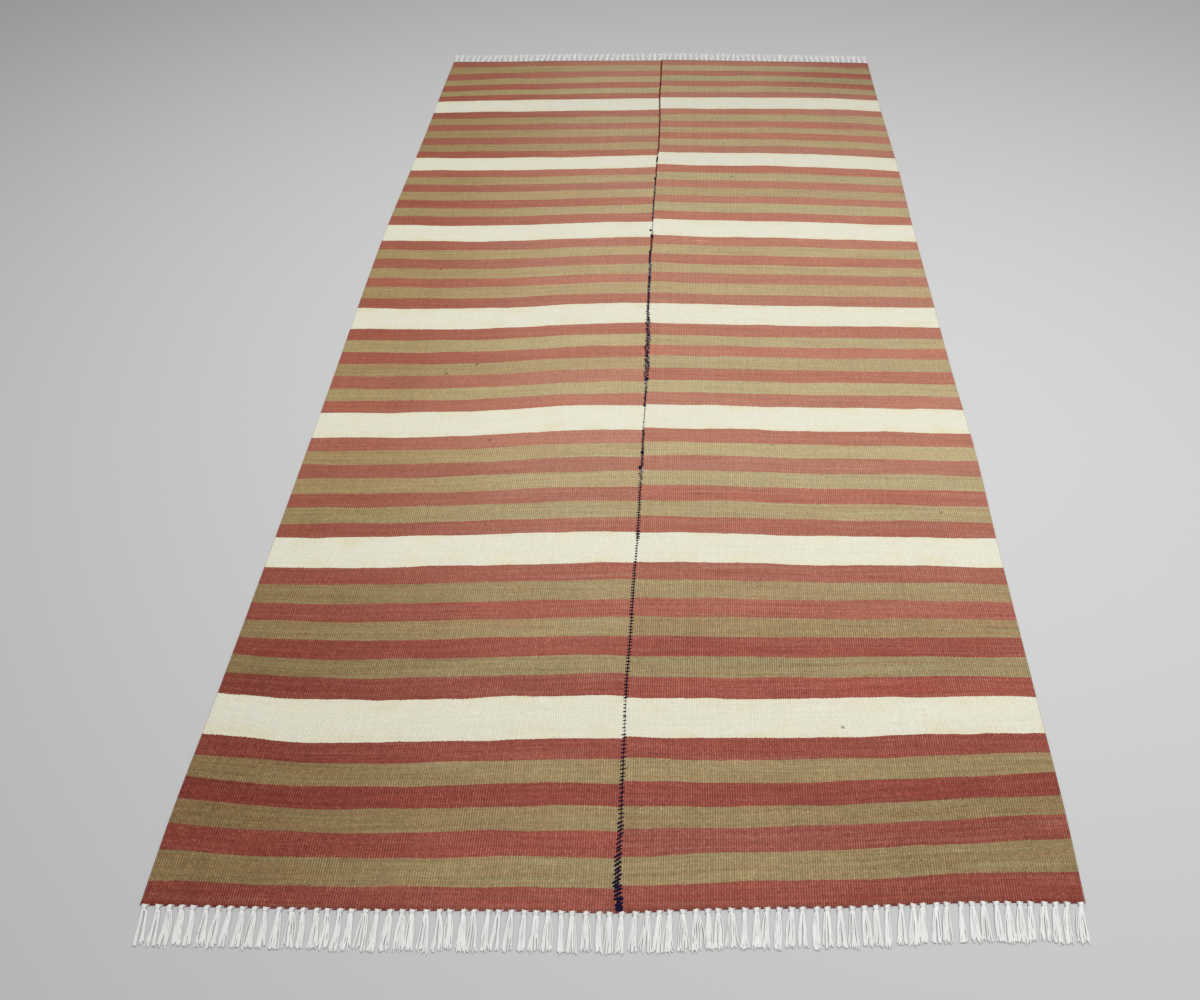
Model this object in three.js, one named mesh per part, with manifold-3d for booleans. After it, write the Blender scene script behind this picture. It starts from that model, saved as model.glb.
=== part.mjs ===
// A flat-woven kilim rug lying flat on a floor, in millimetres, +Z up.
// Two narrow loom lengths are sewn edge to edge down the middle, so each panel is one solid.
// X runs across the rug, and Y along it from the near fringe to the far one.
// At both ends the warps are tied in tassels. Each panel's fringe is one solid: a narrow strip
// of its last wefts, and fused to it the knot and the one or two locks of each tassel.
// The stripes are colour alone, so no solid shows them.
import * as THREE from "three";
import { mergeVertices } from "three/addons/utils/BufferGeometryUtils.js";
import Module from "manifold-3d";

const wasm = await Module();
wasm.setup();

const PANELS = ["left", "right"];

// Driving dimensions.
const RUG_LENGTH = 3320; // the woven cloth, without its fringes
const CLOTH = 2.4; // thickness of the weave
const SEAM_GAP = 0.3; // between the two panels where they are sewn together
const STRIP = 7; // width of the end strip that carries a fringe
const STRIP_GAP = 0.3; // between an end strip and its panel
const TASSELS = 39; // at one end of one panel
const SIDE_STEPS = 30; // straight stretches along a panel's edge
const END_STEPS = 12; // straight stretches across a panel's end

// Where the two outer edges and the seam run, as the x of each at a place y along the rug.
const EDGES = [
  { y: 0, left: -808, seam: 2, right: 799 },
  { y: 150, left: -812, seam: 2, right: 805 },
  { y: 400, left: -810, seam: -1, right: 808 },
  { y: 800, left: -810, seam: 5, right: 812 },
  { y: 1150, left: -812, seam: 7, right: 818 },
  { y: 1400, left: -814, seam: 8, right: 813 },
  { y: 1750, left: -819, seam: 3, right: 812 },
  { y: 2100, left: -821, seam: 3, right: 811 },
  { y: 2500, left: -813, seam: 7, right: 814 },
  { y: 2750, left: -808, seam: 11, right: 810 },
  { y: 3000, left: -807, seam: 6, right: 806 },
  { y: RUG_LENGTH, left: -802, seam: 7, right: 804 },
];

// The uneven woven ends: how far each lies past its even line along Y, at five even places
// across the panel from left to right.
const WOVEN_ENDS = [
  { panel: "left", end: "near", y: 0, rises: [1, -4, -8, -9, -13] },
  { panel: "left", end: "far", y: RUG_LENGTH, rises: [-7, -5, 2, 5, 6] },
  { panel: "right", end: "near", y: 0, rises: [-13, -6, -3, 5, 4] },
  { panel: "right", end: "far", y: RUG_LENGTH, rises: [12, 6, -2, -8, -18] },
];

// How far a fringe reaches past the cloth, and which way that is along Y. The near one has been
// combed towards the middle of the rug, by this share of how far out each tassel hangs.
const FRINGES = {
  near: { reach: 67, uneven_by: 3, combed_in: 0.01, outward: -1, seed: 1 },
  far: { reach: 60, uneven_by: 4, combed_in: 0, outward: 1, seed: 5 },
};

// A tassel from the cloth outwards: the distance past the cloth's edge, the width on the floor
// and the height. The warps gather to a knot, and the locks start inside it.
const GATHER = { out: -1.5, width: 15, height: 1.6 };
const KNOT = { out: 4.5, width: 9.5, height: 5.2 };
const KNOT_END = { out: 9.5, width: 6.6, height: 3.4 };
const LOCK_ROOT = { out: 6.5, width: 3.8, height: 3 };
const LOCK_TIP = { single: 9, twin: 5.2, height: 1.8 };
const TOP_SHARE = 0.6; // a lock's top is this much of its width on the floor

// How uneven the tassels are.
const TWIN_APART = 9.6; // between the two tips of a tassel that parts into two locks
const LEAN = 4; // the most that a tassel leans to one side
const JITTER = 2.4; // the most that a knot is off its even place
const TIPS_APART = 1.2; // the least between the tips of neighbouring locks

// A repeatable number from -1 to 1 that looks random, for a count and a seed.
function uneven(count, seed) {
  const wave = Math.sin(count * 12.9898 + seed * 78.233) * 43758.5453;
  return 2 * (wave - Math.floor(wave)) - 1;
}

// One of the long lines of the rug as a smooth curve from the near end to the far one.
function longLine(column, shift = 0) {
  return new THREE.SplineCurve(EDGES.map((row) => new THREE.Vector2(row[column] + shift, row.y)));
}

// The two long edges of each panel, left and right.
const SIDES = {
  left: [longLine("left"), longLine("seam", -SEAM_GAP / 2)],
  right: [longLine("seam", SEAM_GAP / 2), longLine("right")],
};

// A woven end of a panel as a smooth curve from its left corner to its right one.
function wovenEnd(panel, end) {
  const { y, rises } = WOVEN_ENDS.find((row) => row.panel === panel && row.end === end);
  const corner = end === "near" ? 0 : 1;
  const [from, to] = SIDES[panel].map((line) => line.getPoint(corner).x);
  const points = rises.map((rise, i) => {
    const across = i / (rises.length - 1);
    return new THREE.Vector2(THREE.MathUtils.lerp(from, to, across), y + rise);
  });
  return new THREE.SplineCurve(points);
}

const movedAlong = (points, distance) => points.map((p) => new THREE.Vector2(p.x, p.y + distance));

// A flat outline given the thickness of the cloth, resting on the floor.
function slab(outline) {
  return new THREE.ExtrudeGeometry(new THREE.Shape(outline), {
    depth: CLOTH,
    bevelEnabled: false,
  });
}

// One loom length between its two end strips.
function panelGeometry(panel) {
  const inset = STRIP + STRIP_GAP;
  const near = movedAlong(wovenEnd(panel, "near").getPoints(END_STEPS), inset);
  const far = movedAlong(wovenEnd(panel, "far").getPoints(END_STEPS), -inset);
  const [left, right] = SIDES[panel].map((line) => line.getPoints(SIDE_STEPS).slice(1, -1));
  return slab([...near, ...right, ...far.reverse(), ...left.reverse()]);
}

// The strip of cloth at a woven end, which the tassels are fused to.
function stripGeometry(panel, end) {
  const outer = wovenEnd(panel, end).getPoints(END_STEPS);
  const inner = movedAlong(outer, -FRINGES[end].outward * STRIP);
  return slab([...outer, ...inner.reverse()]);
}

// A four-sided solid through sections that lie across the rug, flat on the floor. Each section
// has its place x and y, its width on the floor and its height.
function loft(sections, outward) {
  const corners = sections.flatMap(({ x, y, width, height }) => {
    const half = (outward * width) / 2;
    const top = half * TOP_SHARE;
    return [[x + half, y, 0], [x - half, y, 0], [x - top, y, height], [x + top, y, height]];
  });
  const last = corners.length - 4;
  const faces = [0, 2, 1, 0, 3, 2, last, last + 1, last + 2, last, last + 2, last + 3];
  for (let ring = 0; ring < last; ring += 4) {
    for (let side = 0; side < 4; side += 1) {
      const a = ring + side;
      const b = ring + ((side + 1) % 4);
      faces.push(a, b, b + 4, a, b + 4, a + 4);
    }
  }
  const geometry = new THREE.BufferGeometry();
  geometry.setAttribute("position", new THREE.Float32BufferAttribute(corners.flat(), 3));
  geometry.setIndex(faces);
  return geometry;
}

// The tassels along one end of the rug, from left to right across both panels: where each leaves
// the cloth, and where the tips of its locks lie.
function tasselPlan(end) {
  const { reach, uneven_by: unevenBy, combed_in: combedIn, outward, seed } = FRINGES[end];
  let freeFrom = -Infinity;
  return PANELS.flatMap((panel) => {
    const cloth = wovenEnd(panel, end);
    return Array.from({ length: TASSELS }, (_, place) => {
      const i = place + TASSELS * PANELS.indexOf(panel);
      const edge = cloth.getPointAt((place + 0.5) / TASSELS);
      const root = new THREE.Vector2(edge.x + JITTER * uneven(i, seed), edge.y);
      const sway = 0.7 * Math.sin(0.55 * i + seed) + 0.3 * uneven(i, seed + 10);
      const lean = LEAN * sway - combedIn * root.x;
      const isTwin = i % 3 !== 1;
      const tipWidth = isTwin ? LOCK_TIP.twin : LOCK_TIP.single;
      const offsets = isTwin ? [-TWIN_APART / 2, TWIN_APART / 2] : [0];
      const tips = offsets.map((offset, lock) => {
        const x = Math.max(root.x + lean + offset, freeFrom + tipWidth / 2);
        const length = reach + unevenBy * uneven(i, seed + 20 + lock);
        freeFrom = x + tipWidth / 2 + TIPS_APART;
        return new THREE.Vector2(x, edge.y + outward * length);
      });
      return { panel, root, tips, tipWidth };
    });
  });
}

// The sections of a lock between its root in the knot and its tip, which curves sideways.
function lockSections(root, tip, tipWidth) {
  const middle = new THREE.Vector2(
    THREE.MathUtils.lerp(root.x, tip.x, 0.62),
    THREE.MathUtils.lerp(root.y, tip.y, 0.5),
  );
  return [
    { x: middle.x, y: middle.y, width: (LOCK_ROOT.width + tipWidth) / 2, height: LOCK_ROOT.height },
    { x: tip.x, y: tip.y, width: tipWidth, height: LOCK_TIP.height },
  ];
}

// The solids of one tassel: the knot with its first lock, and a second lock where it has one.
function tasselGeometries({ root, tips, tipWidth }, outward) {
  const section = ({ out, width, height }) => ({
    x: root.x,
    y: root.y + outward * out,
    width,
    height,
  });
  return tips.map((tip, k) => {
    const start = k === 0 ? [GATHER, KNOT, KNOT_END] : [LOCK_ROOT];
    return loft([...start.map(section), ...lockSections(root, tip, tipWidth)], outward);
  });
}

// A closed geometry as a solid, with only its corners kept.
function solid(geometry) {
  const bare = geometry.clone();
  bare.deleteAttribute("normal");
  bare.deleteAttribute("uv");
  const merged = mergeVertices(bare, 1e-4);
  const vertProperties = merged.getAttribute("position").array;
  const triVerts = new Uint32Array(merged.index.array);
  return new wasm.Manifold(new wasm.Mesh({ numProp: 3, vertProperties, triVerts }));
}

function geometryOf(body) {
  const { vertProperties, triVerts } = body.getMesh();
  const geometry = new THREE.BufferGeometry();
  geometry.setAttribute("position", new THREE.BufferAttribute(vertProperties, 3));
  geometry.setIndex(new THREE.BufferAttribute(triVerts, 1));
  geometry.computeVertexNormals();
  return geometry;
}

// The end strip of a panel with all of its tassels.
function fringeGeometry(panel, end) {
  let body = solid(stripGeometry(panel, end));
  const tassels = tasselPlan(end).filter((tassel) => tassel.panel === panel);
  for (const tassel of tassels) {
    for (const geometry of tasselGeometries(tassel, FRINGES[end].outward)) {
      body = body.add(solid(geometry));
    }
  }
  return geometryOf(body);
}

const wool = new THREE.MeshStandardMaterial({ color: 0xa8584a, roughness: 0.95, metalness: 0 });
const cotton = new THREE.MeshStandardMaterial({ color: 0xe6e4df, roughness: 0.9, metalness: 0 });

const rug = new THREE.Group();
for (const panel of PANELS) {
  const cloth = new THREE.Mesh(panelGeometry(panel), wool);
  cloth.name = `panel_${panel}`;
  rug.add(cloth);
  for (const end of ["near", "far"]) {
    const fringe = new THREE.Mesh(fringeGeometry(panel, end), cotton);
    fringe.name = `fringe_${end}_${panel}`;
    rug.add(fringe);
  }
}

// The origin is the middle of the rug's underside.
const extent = new THREE.Box3().setFromObject(rug);
const middle = extent.getCenter(new THREE.Vector3());
rug.position.set(-middle.x, -middle.y, -extent.min.z);

const part = new THREE.Group();
part.add(rug);
export default part;
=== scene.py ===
"""Looks of a striped kilim rug: two woven panels, their knotted fringes and the sewn seam."""
import math

import bpy
import numpy as np
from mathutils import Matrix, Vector


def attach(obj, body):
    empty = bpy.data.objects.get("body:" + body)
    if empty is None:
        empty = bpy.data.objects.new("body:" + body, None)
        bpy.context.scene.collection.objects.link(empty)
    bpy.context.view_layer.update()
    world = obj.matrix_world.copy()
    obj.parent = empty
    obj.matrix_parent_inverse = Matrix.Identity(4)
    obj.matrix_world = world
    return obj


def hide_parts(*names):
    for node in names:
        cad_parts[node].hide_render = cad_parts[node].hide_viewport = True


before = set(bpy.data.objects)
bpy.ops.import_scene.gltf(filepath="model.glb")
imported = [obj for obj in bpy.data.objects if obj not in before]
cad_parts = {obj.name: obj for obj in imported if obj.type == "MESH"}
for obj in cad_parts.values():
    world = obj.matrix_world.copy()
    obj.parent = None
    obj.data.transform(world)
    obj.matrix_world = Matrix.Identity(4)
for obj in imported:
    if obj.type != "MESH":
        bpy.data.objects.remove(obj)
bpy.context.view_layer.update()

MM = 0.001

# The rug's own measure is in millimetres: x across it, y along it from the near woven end.
# The frame's origin lies here in that measure.
ORIGIN_X = -1.54
ORIGIN_Y = 1655.96

RUG_LENGTH = 3320.0
CLOTH = 2.4  # thickness of the weave
SEAM_GAP = 0.3
PANELS = ("left", "right")
ENDS = ("near", "far")

# Where the two outer edges and the seam run, as the x of each at a place y along the rug.
EDGES = [
    dict(y=0, left=-808, seam=2, right=799),
    dict(y=150, left=-812, seam=2, right=805),
    dict(y=400, left=-810, seam=-1, right=808),
    dict(y=800, left=-810, seam=5, right=812),
    dict(y=1150, left=-812, seam=7, right=818),
    dict(y=1400, left=-814, seam=8, right=813),
    dict(y=1750, left=-819, seam=3, right=812),
    dict(y=2100, left=-821, seam=3, right=811),
    dict(y=2500, left=-813, seam=7, right=814),
    dict(y=2750, left=-808, seam=11, right=810),
    dict(y=3000, left=-807, seam=6, right=806),
    dict(y=RUG_LENGTH, left=-802, seam=7, right=804),
]

# How far a line of weft lies past its even place at five even stations across its panel, from
# left to right. The first and last rows are the woven ends.
WEFT_BOWS = {
    "left": [
        dict(y=0, rises=(1, -4, -8, -9, -13)),
        dict(y=140, rises=(20, 3, 0, 4, 5)),
        dict(y=370, rises=(17, 0, 0, 6, 11)),
        dict(y=800, rises=(-6, -6, 0, 7, 13)),
        dict(y=1100, rises=(-8, -7, 0, 16, 22)),
        dict(y=2100, rises=(1, -5, 0, 14, 21)),
        dict(y=2950, rises=(-13, -4, 0, 5, 12)),
        dict(y=3190, rises=(-21, -6, 0, 12, 17)),
        dict(y=RUG_LENGTH, rises=(-7, -5, 2, 5, 6)),
    ],
    "right": [
        dict(y=0, rises=(-13, -6, -3, 5, 4)),
        dict(y=100, rises=(-14, -6, 0, 11, 21)),
        dict(y=200, rises=(-1, -4, 0, 9, 19)),
        dict(y=370, rises=(0, -2, 0, 4, 6)),
        dict(y=800, rises=(11, 8, 0, -2, -8)),
        dict(y=1660, rises=(15, 6, 0, -3, -7)),
        dict(y=2100, rises=(17, 5, 0, -12, -22)),
        dict(y=2780, rises=(5, 2, 0, -11, -31)),
        dict(y=2950, rises=(3, 2, 0, -4, -20)),
        dict(y=3150, rises=(4, 0, 0, -14, -36)),
        dict(y=RUG_LENGTH, rises=(12, 6, -2, -8, -18)),
    ],
}
SEAM_PULL = 3.5  # how far sewing has drawn the left panel's wefts back, right at the seam

# The groups of seven stripes on each panel, in millimetres, red and tan by turns, with a cream
# band between each two groups. The stripes of a group are alike, apart from the few that are
# plainly wider or narrower, given by their place in the group and by how much.
GROUPS = {
    "left": [
        dict(start=0, stop=313, odd={0: -7, 1: 4, 5: 4}),
        dict(start=409, stop=752, odd={0: 3, 1: -3, 5: 5}),
        dict(start=843, stop=1174, odd={0: -5, 1: 3, 2: -3, 3: 3}),
        dict(start=1266, stop=1610, odd={0: -3, 1: -3, 2: 3, 5: 3}),
        dict(start=1705, stop=2049, odd={1: 5, 2: -5, 3: 2}),
        dict(start=2138, stop=2479, odd={0: 4, 3: 3, 4: -4, 6: -3}),
        dict(start=2562, stop=2898, odd={0: -3, 3: 6, 4: -6}),
        dict(start=2988, stop=3320, odd={0: -3, 1: -6, 4: 4, 5: 7}),
    ],
    "right": [
        dict(start=0, stop=325, odd={1: 6, 3: -7}),
        dict(start=412, stop=755, odd={}),
        dict(start=840, stop=1188, odd={4: 2, 5: -3}),
        dict(start=1277, stop=1620, odd={3: 3, 4: -3, 5: -5, 6: 4}),
        dict(start=1713, stop=2065, odd={1: 5, 3: -3}),
        dict(start=2159, stop=2504, odd={1: 6, 2: -6}),
        dict(start=2591, stop=2917, odd={0: 3, 3: -8, 5: 4, 6: -3}),
        dict(start=3007, stop=3320, odd={1: 4, 4: -3}),
    ],
}
STRIPES_PER_GROUP = 7
GROUP_PERIOD = STRIPES_PER_GROUP + 1

RIBS = 175  # warp ribs across a panel
FIRST_RIGHT_RIB = 200  # the right panel's ribs are numbered from here, and the left one's from 0
ROWS_PER_STRIPE = 4
RIB_HEIGHT = 0.7


def uneven(count, seed):
    """A repeatable number from -1 to 1 that looks random, as in the part's source."""
    wave = math.sin(count * 12.9898 + seed * 78.233) * 43758.5453
    return 2 * (wave - math.floor(wave)) - 1


def smooth(xs, ys, at):
    """A smooth curve through the points xs, ys, read at one place or an array of places."""
    xs = np.asarray(xs, float)
    ys = np.asarray(ys, float)
    slopes = np.gradient(ys, xs)
    at = np.clip(np.asarray(at, float), xs[0], xs[-1])
    i = np.clip(np.searchsorted(xs, at) - 1, 0, len(xs) - 2)
    span = xs[i + 1] - xs[i]
    t = (at - xs[i]) / span
    rise = ys[i + 1] - ys[i]
    a = slopes[i] * span
    b = slopes[i + 1] * span
    return ys[i] + a * t + (3 * rise - 2 * a - b) * t**2 + (a + b - 2 * rise) * t**3


def long_line(column, y):
    """The x of an outer edge or of the seam at y."""
    return smooth([row["y"] for row in EDGES], [row[column] for row in EDGES], y)


def panel_sides(panel, y):
    """The x of a panel's two long edges, left and right, at y."""
    seam = long_line("seam", y)
    if panel == "left":
        return long_line("left", y), seam - SEAM_GAP / 2
    return seam + SEAM_GAP / 2, long_line("right", y)


def weft_bow(panel, across, y):
    """How far a line of weft lies past its even place y, at across from 0 to 1."""
    rows = WEFT_BOWS[panel]
    places = [row["y"] for row in rows]
    at_y = [smooth(places, rises, y) for rises in zip(*[row["rises"] for row in rows])]
    return smooth(np.linspace(0, 1, len(at_y)), at_y, across)


def stripe_lines(panel):
    """The even place y of every line between two stripes, the two woven ends among them."""
    lines = []
    for group in GROUPS[panel]:
        widths = np.ones(STRIPES_PER_GROUP)
        odd = group["odd"]
        widths *= (group["stop"] - group["start"] - sum(odd.values())) / STRIPES_PER_GROUP
        for stripe, more in odd.items():
            widths[stripe] += more
        lines += [group["start"], *(group["start"] + np.cumsum(widths))]
    return np.array(lines)


def soft_step(value, low, high):
    """From 0 at low to 1 at high, with soft ends."""
    t = np.clip((value - low) / (high - low), 0, 1)
    return t * t * (3 - 2 * t)


def placed(points):
    """Points in the rug's own millimetres as points of the frame, in metres."""
    return (np.asarray(points, float) - np.array([ORIGIN_X, ORIGIN_Y, 0])) * MM


def mesh_object(name, vertices, faces, attributes=None):
    """A smooth object in the scene, with a number at each point for each attribute."""
    mesh = bpy.data.meshes.new(name)
    mesh.from_pydata([tuple(v) for v in vertices], [], faces)
    for key, values in (attributes or {}).items():
        layer = mesh.attributes.new(key, "FLOAT", "POINT")
        layer.data.foreach_set("value", np.asarray(values, np.float32))
    mesh.polygons.foreach_set("use_smooth", [True] * len(mesh.polygons))
    mesh.validate()
    mesh.update()
    piece = bpy.data.objects.new(name, mesh)
    bpy.context.scene.collection.objects.link(piece)
    return piece


# The woven panels

SWELL = 1.6  # the most that the cloth lifts off the floor in its soft swells
FLAT_SIDE = 90  # the swells reach their height this far in from a long edge
FLAT_END = 120  # and this far in from a woven end
PUCKER = 0.8  # the height of the puckers beside the seam
PUCKER_REACH = 14
PULL_REACH = 28  # how far from the seam the sewing has drawn the wefts
PULL_DIES = (1300, 1800)  # where along the rug that pull dies away
RAGGED_FROM = 40  # the wefts ripple this far in from a woven end
RIPPLES = (dict(size=0.9, length=53, drift=2.3), dict(size=0.6, length=29, drift=1.1))

OUTER_EDGE = 0.6  # the share of the cloth's thickness at a panel's outer edge
WOVEN_EDGE = 0.85  # and at its woven ends
SEWN_DROP = 0.2  # how far the sewing has drawn the edges down at the seam
UNDERSIDE_STEP = 2 * RIBS // 25  # columns of the upper side to one of the underside

KEPT_CORNER = 0.6  # how much less the far right corner has faded along the rug
DEEP_CORNER = 0.5  # how much less the near right corner has faded across the rug


def swell(x, y):
    """How far the cloth lifts off the floor in soft swells, in millimetres."""
    long_wave = 0.5 + 0.5 * np.sin(y / 210 + 1.3 * np.sin(x / 420 + 0.6))
    cross_wave = 0.5 + 0.5 * np.sin(x / 150 + y / 380 + 2.0)
    return SWELL * long_wave * cross_wave


def cloth_top(x, y):
    """The height of the cloth's upper side, with its swells and the pucker beside the seam."""
    outer = np.minimum(x - long_line("left", y), long_line("right", y) - x)
    ends = np.minimum(y, RUG_LENGTH - y)
    lift = swell(x, y) * soft_step(outer, 0, FLAT_SIDE) * soft_step(ends, 0, FLAT_END)
    from_seam = np.abs(x - long_line("seam", y))
    folds = 0.5 + 0.5 * np.sin(y / 11 + 1.5 * np.sin(y / 70))
    return CLOTH + lift + PUCKER * np.exp(-from_seam / PUCKER_REACH) * folds


def fading(x, y):
    """How far the dyes have faded, from 0 to 1, along the rug and across it."""
    kept_corner = KEPT_CORNER * soft_step(x, 300, 750) * soft_step(y, 2900, 3150)
    deep_corner = DEEP_CORNER * soft_step(x, 100, 700) * (1 - soft_step(y, 200, 420))
    return soft_step(y, 250, 1250) - kept_corner, soft_step(x, -780, -80) - deep_corner


def cloth_rows(panel):
    """The stripe number of every row of the cloth's mesh, with its even place y."""
    lines = stripe_lines(panel)
    stripes = np.arange((len(lines) - 1) * ROWS_PER_STRIPE + 1) / ROWS_PER_STRIPE
    return stripes, np.interp(stripes, np.arange(len(lines)), lines)


def cloth_points(panel, across, stripes, even_y):
    """The x and y of the cloth at every row and every place across it."""
    u, even = np.meshgrid(across, even_y)
    _, stripe = np.meshgrid(across, stripes)
    y = even + np.stack([weft_bow(panel, across, e) for e in even_y])
    left, right = panel_sides(panel, y)
    x = left + (right - left) * u
    inside = soft_step(np.minimum(even, RUG_LENGTH - even), 0, RAGGED_FROM)
    if panel == "left":
        near_seam = np.exp((x - right) / PULL_REACH)
        y = y - inside * SEAM_PULL * near_seam * (1 - soft_step(even, *PULL_DIES))
    ripples = [r["size"] * np.sin(x / r["length"] + r["drift"] * stripe) for r in RIPPLES]
    return x, y + inside * sum(ripples)


def cloth_heights(panel, x, y):
    """The height of every point of the upper side, with its ribs and its thinner edges."""
    groove = (np.arange(x.shape[1]) % 2 == 0)[None, :]
    z = cloth_top(x, y) + np.where(groove, -RIB_HEIGHT / 2, RIB_HEIGHT / 2)
    outer, sewn = (0, -1) if panel == "left" else (-1, 0)
    z[:, outer] = OUTER_EDGE * CLOTH
    z[:, sewn] -= SEWN_DROP
    z[0, :] = z[-1, :] = WOVEN_EDGE * CLOTH
    return z


def grid_faces(corner, rows, columns):
    """The faces of a grid of points, where corner gives the number of one of them."""
    r, c = np.meshgrid(np.arange(rows - 1), np.arange(columns - 1), indexing="ij")
    ring = [corner(r, c), corner(r, c + 1), corner(r + 1, c + 1), corner(r + 1, c)]
    return np.stack(ring, -1).reshape(-1, 4)


def sheet_faces(rows, columns, kept):
    """The faces of a closed sheet whose underside has only the kept columns."""
    def top_at(row, column):
        return row * columns + column

    def bottom_at(row, column):
        return rows * columns + row * len(kept) + column

    faces = grid_faces(top_at, rows, columns).tolist()
    faces += grid_faces(bottom_at, rows, len(kept))[:, [0, 3, 2, 1]].tolist()
    last = rows - 1
    end = columns - 1
    under_end = len(kept) - 1
    for row in range(last):
        on = row + 1
        faces.append([top_at(row, 0), top_at(on, 0), bottom_at(on, 0), bottom_at(row, 0)])
        faces.append(
            [top_at(on, end), top_at(row, end), bottom_at(row, under_end), bottom_at(on, under_end)]
        )
    for k in range(under_end):
        span = range(kept[k], kept[k + 1] + 1)
        faces.append([bottom_at(0, k), bottom_at(0, k + 1)] + [top_at(0, c) for c in reversed(span)])
        faces.append([bottom_at(last, k + 1), bottom_at(last, k)] + [top_at(last, c) for c in span])
    return faces


def make_cloth(panel):
    """A closed sheet with a rib for every warp. Its stripes and ribs are attributes."""
    stripes, even_y = cloth_rows(panel)
    columns = 2 * RIBS + 1
    kept = np.arange(0, columns, UNDERSIDE_STEP)
    across = np.linspace(0, 1, columns)
    x, y = cloth_points(panel, across, stripes, even_y)
    top = np.stack([x, y, cloth_heights(panel, x, y)], -1)
    bottom = np.stack([x, y, np.zeros(x.shape)], -1)[:, kept]
    points = np.concatenate([top.reshape(-1, 3), bottom.reshape(-1, 3)])

    def on_both(values):
        return np.concatenate([values.ravel(), values[:, kept].ravel()])

    _, stripe = np.meshgrid(across, stripes)
    _, pick = np.meshgrid(across, even_y)
    first_rib = PANELS.index(panel) * FIRST_RIGHT_RIB
    along, sideways = fading(x, y)
    attributes = dict(
        stripe=on_both(stripe),
        pick=on_both(pick),
        rib=on_both(np.broadcast_to(first_rib + across * RIBS, x.shape)),
        faded_along=on_both(along),
        faded_across=on_both(sideways),
    )
    faces = sheet_faces(len(stripes), columns, kept)
    return mesh_object(f"cloth_{panel}", placed(points), faces, attributes)


# Threads

def tubes(paths, radii, sides, up=(0.0, 0.0, 1.0), marks=None):
    """Closed round threads along paths, an array of (threads, points, 3) in millimetres.

    Marks are further attributes, with a value for each thread.
    """
    paths = np.asarray(paths, float)
    count, points, _ = paths.shape
    radii = np.broadcast_to(np.asarray(radii, float), (count, points))
    ahead = np.gradient(paths, axis=1)
    ahead /= np.linalg.norm(ahead, axis=2, keepdims=True)
    side = np.cross(ahead, np.asarray(up))
    side /= np.linalg.norm(side, axis=2, keepdims=True)
    over = np.cross(side, ahead)
    turn = np.arange(sides) * 2 * math.pi / sides
    ring = (
        side[:, :, None, :] * np.cos(turn)[None, None, :, None]
        + over[:, :, None, :] * np.sin(turn)[None, None, :, None]
    )
    vertices = (paths[:, :, None, :] + ring * radii[:, :, None, None]).reshape(-1, 3)

    first = (np.arange(count)[:, None, None] * points + np.arange(points - 1)[None, :, None]) * sides
    k = np.arange(sides)[None, None, :]
    a = first + k
    b = first + (k + 1) % sides
    quads = np.stack([a, a + sides, b + sides, b], -1).reshape(-1, 4).tolist()
    start = np.arange(count)[:, None] * points * sides + np.arange(sides)[None, :]
    caps = start.tolist() + (start[:, ::-1] + (points - 1) * sides).tolist()

    lengths = np.linalg.norm(np.diff(paths, axis=1), axis=2)
    along = np.concatenate([np.zeros((count, 1)), np.cumsum(lengths, axis=1)], axis=1)
    values = dict(
        along=np.repeat(along.reshape(-1), sides),
        around=np.tile(np.arange(sides) / sides, count * points),
        thread=np.repeat(np.arange(count), points * sides),
    )
    for key, numbers in (marks or {}).items():
        values[key] = np.repeat(numbers, points * sides)
    return vertices, quads + caps, values


def joined(name, parts):
    """One mesh object of several lots of tubes."""
    vertices = []
    faces = []
    attributes = {}
    total = 0
    for points, polygons, values in parts:
        vertices.append(points)
        faces += [[i + total for i in polygon] for polygon in polygons]
        for key, value in values.items():
            attributes.setdefault(key, []).append(value)
        total += len(points)
    attributes = {key: np.concatenate(value) for key, value in attributes.items()}
    return mesh_object(name, placed(np.concatenate(vertices)), faces, attributes)


# The fringes, with a tassel wherever the part's source has one

TASSELS = 39
FRINGE_SEED = 11
FRINGES = {
    "near": dict(reach=67, uneven_by=3, combed_in=0.01, outward=-1, seed=1),
    "far": dict(reach=60, uneven_by=4, combed_in=0, outward=1, seed=5),
}
TWIN_APART = 9.6
TWIN_TIP = 5.2
SINGLE_TIP = 9.0
LEAN = 4.0
JITTER = 2.4
TIPS_APART = 1.2


def tassel_plan(end):
    """The tassels along one end: the panel, the root on the cloth's edge and the tips."""
    fringe = FRINGES[end]
    outward = fringe["outward"]
    seed = fringe["seed"]
    end_y = 0 if end == "near" else RUG_LENGTH
    free_from = -math.inf
    tassels = []
    for p, panel in enumerate(PANELS):
        left, right = panel_sides(panel, end_y)
        for place in range(TASSELS):
            i = place + TASSELS * p
            across = (place + 0.5) / TASSELS
            edge_x = left + (right - left) * across
            edge_y = end_y + float(weft_bow(panel, across, end_y))
            root_x = edge_x + JITTER * uneven(i, seed)
            sway = 0.7 * math.sin(0.55 * i + seed) + 0.3 * uneven(i, seed + 10)
            lean = LEAN * sway - fringe["combed_in"] * root_x
            twin = i % 3 != 1
            tip_width = TWIN_TIP if twin else SINGLE_TIP
            tips = []
            for lock, offset in enumerate([-TWIN_APART / 2, TWIN_APART / 2] if twin else [0]):
                x = max(root_x + lean + offset, free_from + tip_width / 2)
                free_from = x + tip_width / 2 + TIPS_APART
                length = fringe["reach"] + fringe["uneven_by"] * uneven(i, seed + 20 + lock)
                tips.append((x, edge_y + outward * length))
            tassels.append(dict(panel=panel, i=i, x=root_x, y=edge_y, tips=tips, width=tip_width))
    return tassels


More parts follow.
